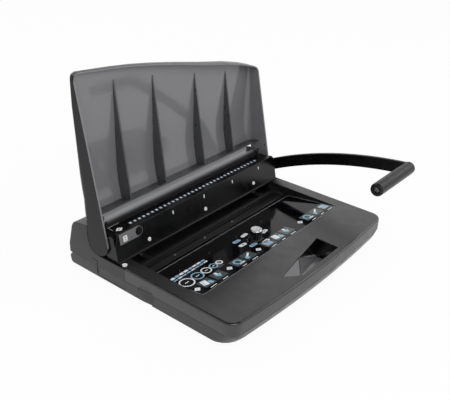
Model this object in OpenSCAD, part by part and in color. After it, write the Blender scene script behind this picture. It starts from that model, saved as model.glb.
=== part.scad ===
// Manual wire binding machine: vertical punch for a 34-loop 3:1 pitch row, wire closer,
// size dial, hinged cover and a side lever with an inward grip.
// X runs along the punch row, -Y is the user's side, Z is up.

/* [Body] */
// Overall width of the case
case_w = 367; // [360:1:372]
// Thickness of the moulded walls
wall = 2.6; // [2.2:0.1:3]
// Height of the working deck above the table
deck_z = 39; // [38.6:0.1:40]
// Height of the rubber feet
foot_h = 3; // [2.4:0.1:3.6]
// Height of the parting line between the two case halves
part_z = 20; // [19.6:0.1:20.4]

/* [Punch] */
// Pitch of the square holes (3:1 pitch is 8.4667)
pitch = 8.4667; // [8.4:0.0001:8.5]
// Number of square holes along the edge of an A4 sheet
hole_n = 34; // [30:1:34]
// Side of one square punch pin
pin_a = 4; // [3.6:0.1:4.2]
// Width of the paper throat
throat_w = 3; // [2.6:0.1:3.2]
// Clearance all round a pin in its plate
pin_gap = 0.35; // [0.3:0.05:0.5]

/* [Cover] */
// Thickness of the cover's panel and walls
lid_t = 2.5; // [2:0.1:3]
// Height of the cover's free edge at the left end, cover open
lid_left_z = 287; // [280:1:290]
// Height of the cover's free edge at the right end, cover open
lid_right_z = 221; // [217:1:225]
// Radius of the cover's round arm ends
arm_r = 19.5; // [19:0.1:19.8]
// Radius of the cover's hinge pins
hinge_r = 3.5; // [3:0.1:4]

/* [Lever] */
// Thickness of the flat lever arm
lever_t = 5; // [4:0.5:5.5]
// Depth of the flat lever arm
lever_w = 19; // [16:0.5:20]
// Diameter of the grip
grip_d = 19.5; // [16:0.5:20]
// Length of the grip
grip_len = 94; // [80:1:100]
// Radius of the drive shaft
shaft_r = 5; // [4.5:0.1:5.5]

/* [Size dial] */
// Radius of the knob's skirt
knob_r = 8.2; // [7:0.1:9]
// Height of the knob
knob_h = 17; // [14:0.5:18]
// Largest travel of the stop bar
stop_travel = 8; // [6:0.5:8]

/* [Hidden] */
$fn = 64;

// row frame: the middle of the box round the whole machine at rest, on the table
hw = case_w / 2;
base_z = foot_h;
front_y = -154.3;
rear_y = 154;
front_r = 17;
rear_r = 4;
bow = 7;
bow_c = hw - front_r;
bow_R = (bow_c * bow_c + bow * bow) / (2 * bow);
tuck = 8.9;
tuck_mid = 3.6;
tuck_z = 9;
hy = 90;
hz = 58;
sy = 117;
sz = 30;
plate_hw = hw - 3.3;
pocket_x = plate_hw - 9.7;
frame_x = plate_hw - 20.2;
screw_x = hw - 33.5;
foot_x = hw - 25.5;
row_half = pitch * (hole_n - 1) / 2;
slot_z = 69;
selector_z = 68.6;
spigot_r = 2.9;
plate_screw_x = 119.4;
peg_y = 71.7;
strip_z = 78;
pin_z = 65;
throat_y = 84;
plug_x = plate_hw - 3.7;
channel_screws = [-94, -29.5, 35];
ramp_y = -78;
ramp_end = 16;
ramp_s = 0.133;
rec_x = frame_x + 1;
face_y = 61.8;
face_low_y = 54.4;
face_low_z = deck_z + 0.5;
face_k = (face_y - face_low_y) / (strip_z - face_low_z);
face_a = atan(face_k);
dial_y = -40;
stop_y = 18.6;
gear_m = 2;
gear_n = 12;
gear_r = gear_m * gear_n / 2;
lever_R = 670;
grip_y = -170;
grip_z = 124;
arm_x = hw + 5.5;
cap_t = 5.5;
org_x = (arm_x + lever_t + cap_t - hw) / 2;
org_y = (rear_y + grip_y - max(lever_w, grip_d) / 2) / 2;
// bands of the punch train
rack_z0 = sz + gear_r + 1.3 * gear_m;
rack_z1 = rack_z0 + 5;
ram_z0 = 60;
ram_z1 = 70;

function bow_y(x) = front_y + bow_R - sqrt(bow_R * bow_R - x * x);

// one front corner of the outline, r its radius and i the inset
function corner(side, i, r, grow, from) = [for (k = [0:5])
    let (a = from + k * 17, c = hw + grow - r)
    [side * c + (r - i) * cos(a), bow_y(c) + r + (r - i) * sin(a)]];
function outline(i, r = front_r, grow = 0) = concat(
    [for (a = [90:30:180]) [-hw - grow + rear_r + (rear_r - i) * cos(a), rear_y - rear_r + (rear_r - i) * sin(a)]],
    corner(-1, i, r, grow, 180),
    [for (k = [-5:5]) let (x = k * (hw + grow - r) / 5.3) [x, bow_y(x) + i]],
    corner(1, i, r, grow, 275),
    [for (a = [0:30:90]) [hw + grow - rear_r + (rear_r - i) * cos(a), rear_y - rear_r + (rear_r - i) * sin(a)]]);

module at() {
    translate([-org_x, -org_y, 0]) children();
}

// extrudes a profile drawn in the Y-Z plane along X, from x0 to x1
module along_x(x0, x1) {
    translate([x0, 0, 0]) rotate([90, 0, 90]) linear_extrude(x1 - x0) children();
}

module box(x0, x1, y0, y1, z0, z1) {
    translate([x0, y0, z0]) cube([x1 - x0, y1 - y0, z1 - z0]);
}

module rod_x(x0, x1, y, z, r) {
    translate([x0, y, z]) rotate([0, 90, 0]) cylinder(r = r, h = x1 - x0);
}

// a disc round the shaft's axis, for the inner train, and the bore that clears the shaft
disc_n = 24;
bore_r = shaft_r / cos(180 / disc_n) + 0.01;

module disc_2d(r) {
    translate([sy, sz]) polygon([for (k = [0:disc_n - 1]) r * [cos(k * 360 / disc_n), sin(k * 360 / disc_n)]]);
}

module both() {
    children();
    mirror([1, 0, 0]) children();
}

// side profile of the whole case: tucked front, rounded rear and sloping top
module case_side(i) {
    polygon([
        [front_y - 5, base_z + i], [front_y - 5, 86 - i], [88 + i, 86 - i], [88 + i, strip_z - 0.8 - i],
        [90 + i * 0.6, strip_z + 0.4 - i], [100, strip_z + 1 - i], [112, strip_z - 0.6 - i],
        [126, 75.4 - i], [138 - i * 0.4, 72.4 - i], [141.5 - i * 0.8, 69.5 - i * 0.6],
        [144.5 - i, 64], [149.5 - i, 44], [153.5 - i, 26], [154 - i, part_z],
        [153 - i, 14], [150 - i, 6], [147 - i, base_z + i]]);
}

module case_slice(i, z0, z1) {
    intersection() {
        translate([0, 0, z0]) linear_extrude(z1 - z0) polygon(outline(i));
        along_x(-hw - 5, hw + 5) case_side(i);
    }
}

// the outline leaning back as it goes down: set in by shift at height z, by k more for each mm below
module leaning(i, r, z, shift, k) {
    a = atan(k);
    rotate([a, 0, 0]) translate([0, 0, -100]) linear_extrude(260)
        polygon([for (p = outline(i, r, 0.4)) [p[0], (p[1] + shift + 0.3 * i + z * k) * cos(a)]]);
}

// what the drawn-in front of the lower shell leaves
module drawn_in(i) {
    intersection() {
        leaning(i, 28, tuck_z, tuck_mid, (tuck - tuck_mid) / (tuck_z - base_z));
        leaning(i, 21, part_z, 0, tuck_mid / (part_z - tuck_z));
    }
}

// thumb scoop in the left end, deeper towards the front
module thumb_scoop() {
    both() translate([-hw + 1.5, 0, 13.8]) rotate([45, 0, 0]) rotate([0, 7, 0]) rotate([0, -90, 0]) cylinder(r = 15, h = 12);
}

module scoop_pad() {
    both() box(-hw, -hw + 7, -19, 19, base_z, 32);
}

module base_tray() at() color([0.33, 0.33, 0.345]) {
    difference() {
        intersection() {
            case_slice(0, base_z, part_z);
            drawn_in(0);
        }
        difference() {
            intersection() {
                case_slice(wall, base_z, part_z + 1);
                drawn_in(wall);
            }
            scoop_pad();
            for (x = [-screw_x, screw_x]) {
                for (y = [-118, 128]) {
                    translate([x, y, base_z]) cylinder(r = 5, h = part_z, $fn = 12);
                }
            }
        }
        // drawer opening in the left end
        box(-hw - 1, -hw + 12, 39.5, 93, base_z + wall, part_z + 1);
        thumb_scoop();
        // counterbores for the case screws
        for (x = [-screw_x, screw_x]) {
            for (y = [-118, 128]) {
                translate([x, y, base_z - 1]) cylinder(r = 3.6, h = 4, $fn = 12);
                translate([x, y, base_z - 1]) cylinder(r = 1.8, h = 14, $fn = 12);
            }
        }
    }
}

module scoop_solid(grow, floor_z) {
    intersection() {
        translate([0, 0, floor_z]) linear_extrude(60)
            polygon([[-39 - grow, -145 - grow], [57 + grow, -143.5 - grow], [57 + grow, -107.2 + grow], [-4 - grow, -117.6 + grow]]);
        // ramp floor that falls towards the right end wall
        translate([-39, -145, deck_z]) rotate([0, 17, 9]) box(-60 + grow * 0, 160, -60, 80, -grow, 80);
        // flank that falls away from the cover's edge line
        translate([-4, -117.5, deck_z]) rotate([0, 0, -51.8]) rotate([0, 43, 0]) box(0 - 60, 120, -90, 90, -grow, 120);
    }
}

// working deck: flat margin, label ramp, closer channel and finger scoop
module deck_shell() at() color([0.35, 0.35, 0.365]) {
    difference() {
        union() {
            difference() {
                intersection() {
                    case_slice(0, part_z, deck_z);
                    box(-hw - 1, hw + 1, front_y - 5, 39.3, 0, 100);
                }
                difference() {
                    translate([0, 0, -1]) case_slice(wall, part_z, deck_z - wall + 1);
                    scoop_pad();
                }
                box(-rec_x, rec_x, ramp_y, 60, part_z - 5, 60);
                box(-hw + wall, hw - wall, 34, 60, part_z - 5, deck_z - wall);
            }
            // ramp
            along_x(-rec_x, rec_x)
                polygon([[ramp_y - 3, deck_z - 2.4], [ramp_y, deck_z], [ramp_end, deck_z - (ramp_end - ramp_y) * ramp_s],
                    [ramp_end, part_z], [ramp_end - 2, part_z], [ramp_end - 2, deck_z - (ramp_end - ramp_y) * ramp_s - wall],
                    [ramp_y, deck_z - wall], [ramp_y - 3, deck_z - wall]]);
            // closer channel floor
            box(-rec_x, rec_x, ramp_end - 2, 59, part_z, part_z + 2.2);
            both() {
                box(rec_x, rec_x + 2.4, ramp_y - 2, face_low_y - 3.4, part_z, deck_z);
                box(rec_x, rec_x + 2.4, ramp_y - 2, 59, part_z, face_low_z - 2.4);
            }
            // strip of deck beside the channel, up to the punch unit
            both() {
                box(rec_x, plate_hw - 1.2, 39, face_low_y - 3.4, deck_z - wall, deck_z);
            }
            intersection() {
                scoop_solid(2.2, base_z + wall + 0.6);
                box(-hw, hw, -160, -90, 0, deck_z);
                drawn_in(wall + 0.4);
            }
            // collar under the size dial
            translate([0, dial_y, 29.4]) cylinder(r = 9.2, h = 6);
        }
        scoop_solid(0, base_z + wall + 2.8);
        // shallow triangular lead-in along the cover's edge line
        translate([0, 0, deck_z - 1.2]) linear_extrude(5) polygon([[-58, -127.5], [-39, -144], [-3.9, -117.6]]);
        thumb_scoop();
        // window for the stop bar's tongue
        box(-16, 16, ramp_end - 5, ramp_end + 5, part_z + 2.4, part_z + 5.4);
        translate([0, dial_y, 0]) cylinder(r = 3.05, h = 60);
        // recess for the corner plug
        translate([-plug_x, 45.6, deck_z - 1.2]) cylinder(r = 3.6, h = 5);
        // holes for the channel's screws
        for (x = channel_screws) {
            translate([x, 31.8, part_z - 5]) cylinder(r = 1.3, h = 10, $fn = 12);
        }
    }
}

// rear housing with the side pockets for the cover's arms
module pocket() {
    box(pocket_x, hw + 5, 30, hy, 37.4, 100);
    box(pocket_x, hw + 5, hy - 1, 111.1, hz, 100);
    rod_x(pocket_x, hw + 5, hy, hz, arm_r + 0.9);
}

module rear_housing() at() color([0.36, 0.36, 0.375]) {
    difference() {
        union() {
            difference() {
                intersection() {
                    case_slice(0, part_z, 90);
                    union() {
                        box(-hw - 5, hw + 5, 88, 200, 0, 100);
                        both() box(pocket_x - wall, hw + 5, 39.7, 200, 0, 100);
                    }
                }
                difference() {
                    translate([0, 0, -1]) case_slice(wall, part_z, 91);
                    both() box(pocket_x - wall, hw, 60, 113.7, 0, 100);
                }
                both() pocket();
                // the end walls' inside, below the pockets
                both() box(pocket_x, hw - wall, 39, 150, 0, 34.8);
                both() difference() {
                    box(pocket_x, hw - wall, 60, 113.7, 0, 35);
                    rod_x(pocket_x, hw, hy, hz, arm_r + 3.4);
                }
            }
            // lip behind the throat
            box(-pocket_x + wall, pocket_x - wall, throat_y + throat_w, throat_y + throat_w + 2.4, 71, strip_z - 0.6);
            // shell of each round pocket
            both() intersection() {
                difference() {
                    rod_x(pocket_x - wall, hw, hy, hz, arm_r + 3.4);
                    rod_x(pocket_x, hw + 5, hy, hz, arm_r + 0.9);
                    box(pocket_x, hw + 5, 30, 111.1, hz, 100);
                    box(pocket_x, hw + 5, 30, hy, 37.4, 100);
                }
                box(0, 200, 39.7, 140, 0, 100);
            }
        }
        // seats of the cover's stops
        both() box(frame_x + 1, frame_x + 8, 100.5, 105, strip_z + 0.2, 90);
        // inner end walls stay behind the front plate
        both() box(pocket_x - wall - 1, pocket_x + 1, 30, 66, 37.4, 100);
        both() box(pocket_x - wall - 1, pocket_x + 1, 30, throat_y + throat_w, strip_z - 2, 100);
        both() rod_x(pocket_x - 10, pocket_x + 1, hy, hz, hinge_r);
        // shaft passes through both right walls and the left inner wall
        rod_x(pocket_x - 6, hw + 5, sy, sz, shaft_r + 3.1);
        rod_x(-pocket_x - 1, -pocket_x + 6, sy, sz, shaft_r + 3.1);
        // seam of the end panel
        box(-hw - 1, -hw + 0.7, 94, 105, 28.2, 29);
        box(-hw - 1, -hw + 0.7, 93.2, 94, part_z - 1, 29);
        // channel between the punch unit and the deck
        box(-pocket_x + wall, pocket_x - wall, 0, throat_y + throat_w, 0, 100);
    }
}

// bent sheet: top strip with the row of windows and sloping front
module front_plate() at() color([0.10, 0.10, 0.105]) {
    both() along_x(plate_hw - 1.6, plate_hw)
        polygon([[56, 39.6], [62.6, 73.5], [66, 75.4], [70.5, 74.6], [75, 68], [77.5, 56], [77.5, 43], [74, 39.6]]);
    difference() {
        intersection() {
            along_x(-plate_hw, plate_hw)
                polygon([[throat_y, strip_z], [face_y, strip_z], [face_low_y, face_low_z], [face_low_y - 3, face_low_z],
                    [face_low_y - 3, face_low_z - 2], [face_low_y + 1.8, face_low_z - 2],
                    [face_y + 1.7, strip_z - 2], [throat_y, strip_z - 2]]);
            translate([0, 250, 0]) rotate([90, 0, 0]) linear_extrude(300)
                polygon([[-plate_hw, 0], [plate_hw, 0], [plate_hw, 60], [plate_hw - 3.2, 70], [plate_hw - 10.2, strip_z + 1],
                    [10.2 - plate_hw, strip_z + 1], [3.2 - plate_hw, 70], [-plate_hw, 60]]);
        }
        for (k = [0:hole_n - 1]) {
            translate([k * pitch - row_half, peg_y, strip_z]) cube([pin_a + 0.5, pin_a + 2.4, 10], center = true);
        }
        for (k = [-1:2]) {
            on_slope(k * 8 * pitch, slot_z) cube([2.6, 20, 7], center = true);
        }
        on_slope(-16 * pitch, selector_z) translate([0, 8, 0]) rotate([90, 0, 0]) cylinder(r = spigot_r + 0.12, h = 16);
        for (k = [-1:1]) {
            on_slope(k * plate_screw_x, 49.5) translate([0, 8, 0]) rotate([90, 0, 0]) cylinder(r = 1.7, h = 16, $fn = 12);
        }
    }
}

module peg_strip() at() color([0.65, 0.72, 0.77]) {
    box(-row_half - 6, row_half + 6, peg_y - 5, peg_y + 5, strip_z - 5, strip_z - 2);
    for (k = [0:hole_n - 1]) {
        translate([k * pitch - row_half, peg_y, strip_z - 1.2]) cube([pin_a, pin_a + 1.9, 2.7], center = true);
    }
}

module pin_row(y0, y1, a) {
    for (k = [0:hole_n - 1]) {
        translate([k * pitch - row_half - a / 2, y0, pin_z - a / 2]) cube([a, y1 - y0, a]);
    }
}

module die_plate() at() color([0.55, 0.55, 0.57]) {
    difference() {
        box(-frame_x, frame_x, throat_y - 4, throat_y, 53, strip_z - 2);
        pin_row(throat_y - 5, throat_y + 1, pin_a + 2 * pin_gap);
    }
}

module stripper_plate() at() color([0.55, 0.55, 0.57]) {
    difference() {
        box(-frame_x, frame_x, throat_y + throat_w, throat_y + throat_w + 12.5, 54, 70.4);
        pin_row(throat_y + throat_w - 1, throat_y + throat_w + 14, pin_a + 2 * pin_gap);
    }
}

module throat_floor() at() color([0.6, 0.6, 0.62]) {
    box(-frame_x, frame_x, throat_y, throat_y + throat_w, 52, 60);
}

module frame_brackets() at() color([0.5, 0.5, 0.52]) {
    both() difference() {
        along_x(frame_x, pocket_x - wall)
            polygon([[66, 48], [66, strip_z - 2], [throat_y, strip_z - 2], [throat_y + throat_w, 71],
                [throat_y + throat_w + 12.5, 70.4], [throat_y + throat_w + 12.5, ram_z0 - 0.4], [132, ram_z0 - 0.4],
                [132, part_z + 1], [104, part_z + 1], [94, 48]]);
        rod_x(frame_x - 1, pocket_x, sy, sz, shaft_r + 3);
        rod_x(frame_x - 1, pocket_x, hy, hz, hinge_r);
    }
}

module shaft_bushes() at() color([0.75, 0.6, 0.3]) {
    for (x = [-pocket_x - 1.4, frame_x - 1.4, hw - 6.1]) {
        difference() {
            along_x(x, x + (x > pocket_x ? 7.5 : 13.3)) disc_2d(shaft_r + 3);
            rod_x(x - 1, x + 20, sy, sz, shaft_r + 0.06);
        }
    }
}

module hinge_pins() at() color([0.7, 0.7, 0.72]) {
    both() rod_x(frame_x + 1, hw - 1.9, hy, hz, hinge_r);
}

module label_sheet() at() color([0.04, 0.04, 0.06]) {
    difference() {
        along_x(2.5 - rec_x, rec_x - 2.5)
            polygon([[ramp_y + 1, deck_z - ramp_s], [ramp_y + 1, deck_z - ramp_s + 0.3],
                [ramp_end - 3, deck_z - (ramp_end - 3 - ramp_y) * ramp_s + 0.3], [ramp_end - 3, deck_z - (ramp_end - 3 - ramp_y) * ramp_s]]);
        translate([0, dial_y, 0]) cylinder(r = 9.5, h = 60);
    }
}

// parts on the sloping front: local z runs up the slope, -y out of it
module on_slope(x, z) {
    translate([x, face_y - (strip_z - z) * face_k, z]) rotate([-face_a, 0, 0]) children();
}

module plate_label() at() color([0.42, 0.42, 0.43]) {
    on_slope(0, selector_z) difference() {
        union() {
            translate([-171, -0.3, -7.6]) cube([35, 0.3, 15.4]);
            translate([-136, 0, 0]) rotate([90, 0, 0]) cylinder(r = 7.4, h = 0.3);
        }
        translate([-16 * pitch, 1, 0]) rotate([90, 0, 0]) cylinder(r = 4.8, h = 5);
    }
}

module plate_screws() at() color([0.85, 0.85, 0.86]) {
    for (k = [-1:1]) {
        on_slope(k * plate_screw_x, 49.5) {
            rotate([90, 0, 0]) cylinder(r = 3, h = 1.4);
            translate([0, 6, 0]) rotate([90, 0, 0]) cylinder(r = 1.5, h = 6.5, $fn = 12);
        }
    }
}

module slot_tabs() at() color([0.9, 0.9, 0.9]) {
    for (k = [-1:2]) {
        on_slope(k * 8 * pitch, slot_z) translate([-0.1, -0.5, -2.2]) cube([1.4, 3.4, 5.2]);
    }
}

module groove_screws() at() color([0.5, 0.5, 0.52]) {
    for (x = channel_screws) {
        translate([x, 31.8, part_z + 2.2]) cylinder(r = 2, h = 0.6, $fn = 12);
        translate([x, 31.8, part_z - 3]) cylinder(r = 1.1, h = 5.4, $fn = 12);
    }
}

module corner_plug() at() color([0.92, 0.92, 0.92]) {
    translate([-plug_x, 45.6, deck_z - 1.2]) cylinder(r = 3.5, h = 1.7);
}

module stop_posts() at() color([0.3, 0.3, 0.31]) {
    both() box(frame_x + 1, frame_x + 8, 100.5, 105, strip_z + 0.2, strip_z + 7.5);
}

module case_screws() at() color([0.55, 0.55, 0.57]) {
    for (x = [-screw_x, screw_x]) {
        for (y = [-118, 128]) {
            translate([x, y, base_z + 0.9]) cylinder(r = 3.2, h = 2, $fn = 12);
            translate([x, y, base_z + 2.8]) cylinder(r = 1.6, h = 9, $fn = 12);
        }
    }
}

module feet() at() color([0.12, 0.12, 0.12]) {
    for (x = [-foot_x, foot_x]) {
        for (y = [-96, 104]) {
            translate([x - sy, y - sz, 0]) linear_extrude(base_z) disc_2d(9);
        }
    }
}

module chip_tray() at() color([0.34, 0.34, 0.355]) {
    difference() {
        box(-hw + 2, 140, 43, 89.5, base_z + wall + 0.4, part_z - 1.2);
        box(-hw + wall, 138.4, 44.6, 87.9, base_z + wall + 2, part_z + 5);
    }
    box(-hw + 0.2, -hw + wall, 40, 92.5, base_z + wall + 0.4, part_z - 0.4);
}

// ---- cover, drawn open ----
lid_back_y = 125.8;
lid_in_y = lid_back_y - lid_t;
lid_knee = 150;
edge_a = 12;
edge_d = arm_r - 0.9;

module lid_face(i) {
    polygon([[-hw - 2.4 + i, hz - 40], [-hw - 2.4 + i, lid_left_z - 15.4], [-hw + 3 + i * 0.7, lid_left_z - 2.6 - i * 0.7],
        [-hw + 9, lid_left_z - i], [-117.5, lid_left_z - 5.6 - i], [-82, lid_left_z - 10 - i], [-45, lid_left_z - 16 - i],
        [5, lid_left_z - 25.5 - i], [59, lid_right_z + 29.2 - i], [110, lid_right_z + 19.6 - i], [148, lid_right_z + 10.4 - i],
        [hw - 9, lid_right_z + 2 - i], [hw - 3 - i * 0.7, lid_right_z - 1.5 - i * 0.7], [hw + 2.4 - i, lid_right_z - 10.5],
        [hw + 2.4 - i, hz - 40]]);
}

// the back's place and the radius of its two corners, at height z
function lid_y(z) = lid_back_y - pow(max(0, lid_knee - z), 2) / 450;
function lid_r(z) = max(lid_t + 0.4, min(lid_t + 0.4 + (246 - z) * 0.1, 9 + (z - 88) * 0.24));

// plan of the cover at height z, inset by i
function lid_ring(i, z) = let (r = lid_r(z), x = hw - 0.3 - r, y = lid_y(z) - r) concat(
    [[0.3 + i - hw, 40, z], [hw - 0.3 - i, 40, z]],
    [for (a = [0:15:90]) [x + (r - i) * cos(a), y + (r - i) * sin(a), z]],
    [for (a = [90:15:180]) [-x + (r - i) * cos(a), y + (r - i) * sin(a), z]]);

// curved back that rises into straight walls, its corners tighter towards the free edge
module lid_body(i) {
    levels = [88 - i, 101, 115, 130, lid_knee, 185, 215, 246, 300];
    n = len(lid_ring(i, 100));
    m = len(levels);
    polyhedron(points = [for (z = levels) each lid_ring(i, z)],
        faces = concat([[for (k = [0:n - 1]) k]], [[for (k = [0:n - 1]) n * m - 1 - k]],
            [for (q = [0:m - 2]) for (k = [0:n - 1]) let (a = q * n + k, b = q * n + (k + 1) % n) each [[a, a + n, b + n], [a, b + n, b]]]));
}

// everything behind the sloping free edge of the end walls
module lid_edge() {
    polygon([[hy - edge_d * cos(edge_a) + (-120) * sin(edge_a), hz + edge_d * sin(edge_a) - 120 * cos(edge_a)],
        [hy - edge_d * cos(edge_a) + 260 * sin(edge_a), hz + edge_d * sin(edge_a) + 260 * cos(edge_a)],
        [200, 340], [200, -60]]);
}

module lid_rib(x, top_z, low_y) {
    along_x(x - 1.2, x + 1.2)
        polygon([[low_y, 95], [lid_in_y + 0.5, top_z], [lid_in_y + 1, top_z - 20], [lid_in_y + 1, 150], [lid_in_y - 1.5, 115],
            [118, 89.5]]);
}

module cover_shell() {
    difference() {
        intersection() {
            translate([0, 250, 0]) rotate([90, 0, 0]) linear_extrude(250) lid_face(0);
            lid_body(0);
            along_x(-hw - 1, hw + 1) lid_edge();
        }
        intersection() {
            translate([0, 251, 0]) rotate([90, 0, 0]) linear_extrude(260) lid_face(lid_t);
            lid_body(lid_t);
        }
    }
}

module cover() at() color([0.44, 0.44, 0.45]) {
    difference() {
        union() {
            cover_shell();
            // arms down to the hinge
            both() intersection() {
                along_x(hw - 0.3 - lid_t, hw - 0.3) union() {
                    translate([hy, hz]) circle(r = arm_r);
                    polygon([[hy - arm_r, hz], [hy + arm_r, hz], [110.6, 78], [110.6, 86], [107, 93], [78, 93]]);
                }
                along_x(-hw, hw) union() {
                    lid_edge();
                    translate([hy, hz]) circle(r = edge_d + 0.001);
                }
            }
            both() rod_x(pocket_x + 2, hw - 1, hy, hz, 9.5);
        }
        both() rod_x(frame_x, hw - 1.5, hy, hz, hinge_r + 0.06);
    }
}

module cover_ribs() at() color([0.2, 0.2, 0.21]) {
    difference() {
        intersection() {
            union() {
                lid_rib(-113, lid_left_z - 21, 96.5);
                lid_rib(-41, lid_left_z - 31, 97.5);
                lid_rib(47, lid_left_z - 48, 98.5);
                lid_rib(120, lid_right_z + 5, 100);
            }
            lid_body(lid_t);
        }
        flange_bar();
    }
}

// lower flange, square to the curved panel
module flange_bar() {
    along_x(-hw, hw) polygon([[95, 94.2], [95.5, 96.5], [119, 89.92], [118.4, 87.7]]);
}

module cover_flange() at() color([0.25, 0.25, 0.26]) {
    intersection() {
        flange_bar();
        lid_body(lid_t);
    }
}

// ---- lever and drive ----
lev_mid_y = (sy + grip_y) / 2;
lev_mid_z = (sz + grip_z) / 2;
lev_chord = sqrt(pow(sy - grip_y, 2) + pow(grip_z - sz, 2));
lev_h = sqrt(lever_R * lever_R - lev_chord * lev_chord / 4);
lev_cy = lev_mid_y - lev_h * (grip_z - sz) / lev_chord;
lev_cz = lev_mid_z - lev_h * (sy - grip_y) / lev_chord;

module lever_arm() at() color([0.03, 0.03, 0.035]) {
    difference() {
        union() {
            intersection() {
                difference() {
                    translate([arm_x, lev_cy, lev_cz]) rotate([0, 90, 0]) cylinder(r = lever_R + lever_w / 2, h = lever_t, $fn = 360);
                    translate([arm_x - 1, lev_cy, lev_cz]) rotate([0, 90, 0]) cylinder(r = lever_R - lever_w / 2, h = lever_t + 2, $fn = 360);
                }
                box(arm_x, arm_x + lever_t, grip_y, sy, 0, 200);
            }
            rod_x(arm_x, arm_x + lever_t, grip_y, grip_z, lever_w / 2);
            rod_x(arm_x, arm_x + lever_t, sy, sz, 14);
        }
        rod_x(arm_x - 1, arm_x + lever_t + 1, sy, sz, 7.5);
        rod_x(arm_x - 1, arm_x + lever_t + 1, grip_y, grip_z, 4);
    }
}

module lever_hub() at() color([0.2, 0.2, 0.21]) {
    difference() {
        union() {
            along_x(arm_x - 3.6, arm_x) disc_2d(11);
            along_x(arm_x, arm_x + lever_t) disc_2d(7.4);
            along_x(arm_x + lever_t, arm_x + lever_t + 1.6) disc_2d(10);
        }
        along_x(arm_x - 5, arm_x + 12) disc_2d(bore_r);
    }
}

module hub_bolt() at() color([0.7, 0.7, 0.72]) {
    translate([arm_x + lever_t + 1.6, sy, sz]) rotate([0, 90, 0]) cylinder(r = 6.4, h = 3.6, $fn = 6);
}

module grip() at() color([0.27, 0.27, 0.28]) {
    difference() {
        translate([arm_x - grip_len, grip_y, grip_z]) rotate([0, 90, 0]) rotate_extrude()
            polygon([[4, 0.4], [grip_d / 2 - 2.6, 0], [grip_d / 2 - 0.8, 0.9], [grip_d / 2, 2.8],
                [grip_d / 2, grip_len], [4, grip_len]]);
        rod_x(arm_x - grip_len - 1, arm_x - grip_len + 3, grip_y, grip_z, 5);
    }
}

module grip_rod() at() color([0.7, 0.7, 0.72]) {
    rod_x(arm_x - grip_len + 3, arm_x + lever_t, grip_y, grip_z, 4);
}

module grip_cap() at() color([0.2, 0.2, 0.21]) {
    translate([arm_x + lever_t, grip_y, grip_z]) rotate([0, 90, 0]) rotate_extrude()
        polygon([[0, 0], [grip_d / 2 - 0.4, 0], [grip_d / 2 - 0.4, cap_t - 3.2], [grip_d / 2 - 1.8, cap_t - 1],
            [grip_d / 2 - 4, cap_t], [0, cap_t]]);
}

module drive_shaft() at() color([0.6, 0.6, 0.62]) {
    rod_x(-pocket_x, arm_x + lever_t + 1.6, sy, sz, shaft_r);
}

// one toothed wheel in the Y-Z plane, a gap between teeth pointing straight up
module gear_2d() {
    circle(r = gear_r - 1.2 * gear_m, $fn = gear_n);
    for (k = [0:gear_n - 1]) {
        rotate(90 + (k + 0.5) * 360 / gear_n)
            polygon([[gear_r - 1.55 * gear_m, -1.75], [gear_r - 0.2, -1.22], [gear_r + 0.8 * gear_m, -0.5],
                [gear_r + 0.8 * gear_m, 0.5], [gear_r - 0.2, 1.22], [gear_r - 1.55 * gear_m, 1.75]]);
    }
}

module pinions() at() color([0.62, 0.62, 0.64]) {
    for (x = [-134, -104, 96, 126]) {
        difference() {
            along_x(x, x + 8) translate([sy, sz]) gear_2d();
            along_x(x - 1, x + 9) disc_2d(bore_r);
        }
    }
}

// toothed bar above the wheel, one tooth centred over the wheel
module rack_2d(y0, y1) {
    polygon([[y0, rack_z0], [y0, rack_z1], [y1, rack_z1], [y1, rack_z0]]);
    for (k = [-3:2]) {
        translate([sy + k * PI * gear_m, sz + gear_r])
            polygon([[-1.75, 1.4 * gear_m], [-1.1, 0], [-0.68, -0.8 * gear_m], [0.68, -0.8 * gear_m], [1.1, 0], [1.75, 1.4 * gear_m]]);
    }
}

module ram_racks() at() color([0.5, 0.5, 0.52]) {
    for (x = [-104, 96]) {
        along_x(x, x + 8) rack_2d(94, 132.5);
        box(x, x + 8, 108, 116, rack_z1, ram_z0);
    }
}

module ram_bar() at() color([0.5, 0.5, 0.52]) {
    box(4.5 - pocket_x, pocket_x - 4.5, 108, 116, ram_z0, ram_z1);
}

module punch_pins() at() color([0.75, 0.75, 0.77]) {
    pin_row(throat_y + throat_w, 108, pin_a);
}

module jaw_arms() at() color([0.5, 0.5, 0.52]) {
    for (x = [-134, 126]) {
        along_x(x, x + 8) rack_2d(67, 132.5);
        box(x, x + 8, 63, 67, 24, rack_z1);
        box(x, x + 8, 42, 63, 24, 28);
    }
}

module jaw_bar() at() color([0.4, 0.4, 0.42]) {
    box(-rec_x + 1.4, rec_x - 1.4, 36, 42, 23.2, 31);
}

module stop_bar() at() color([0.45, 0.45, 0.47]) {
    box(-rec_x + 1.4, rec_x - 1.4, stop_y, stop_y + 3, 23.2, 27.2);
}

cam_k = stop_travel / 250;
cam_r0 = 9;
roll_r = 2;

module stop_tongue() at() color([0.5, 0.5, 0.52]) {
    difference() {
        box(-13, 13, dial_y + cam_r0 + roll_r - 3.5, stop_y, 23.2, 24.3);
        translate([0, dial_y + cam_r0 + roll_r + 0.3, 20]) cylinder(r = 1.2, h = 10);
    }
}

module stop_roller() at() color([0.8, 0.75, 0.6]) {
    translate([0, dial_y + cam_r0 + roll_r + 0.3, 23.2]) cylinder(r = 1.2, h = 4);
    translate([0, dial_y + cam_r0 + roll_r + 0.3, 24.4]) cylinder(r = roll_r, h = 3);
}

module dial_cam() at() color([0.6, 0.55, 0.4]) {
    difference() {
        translate([0, dial_y, 24.8]) linear_extrude(2.6)
            polygon([for (a = [-15:5:270]) (cam_r0 + cam_k * max(0, min(a, 255))) * [sin(a), cos(a)]]);
        translate([0, dial_y, 20]) cylinder(r = 3, h = 20);
    }
}

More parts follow.
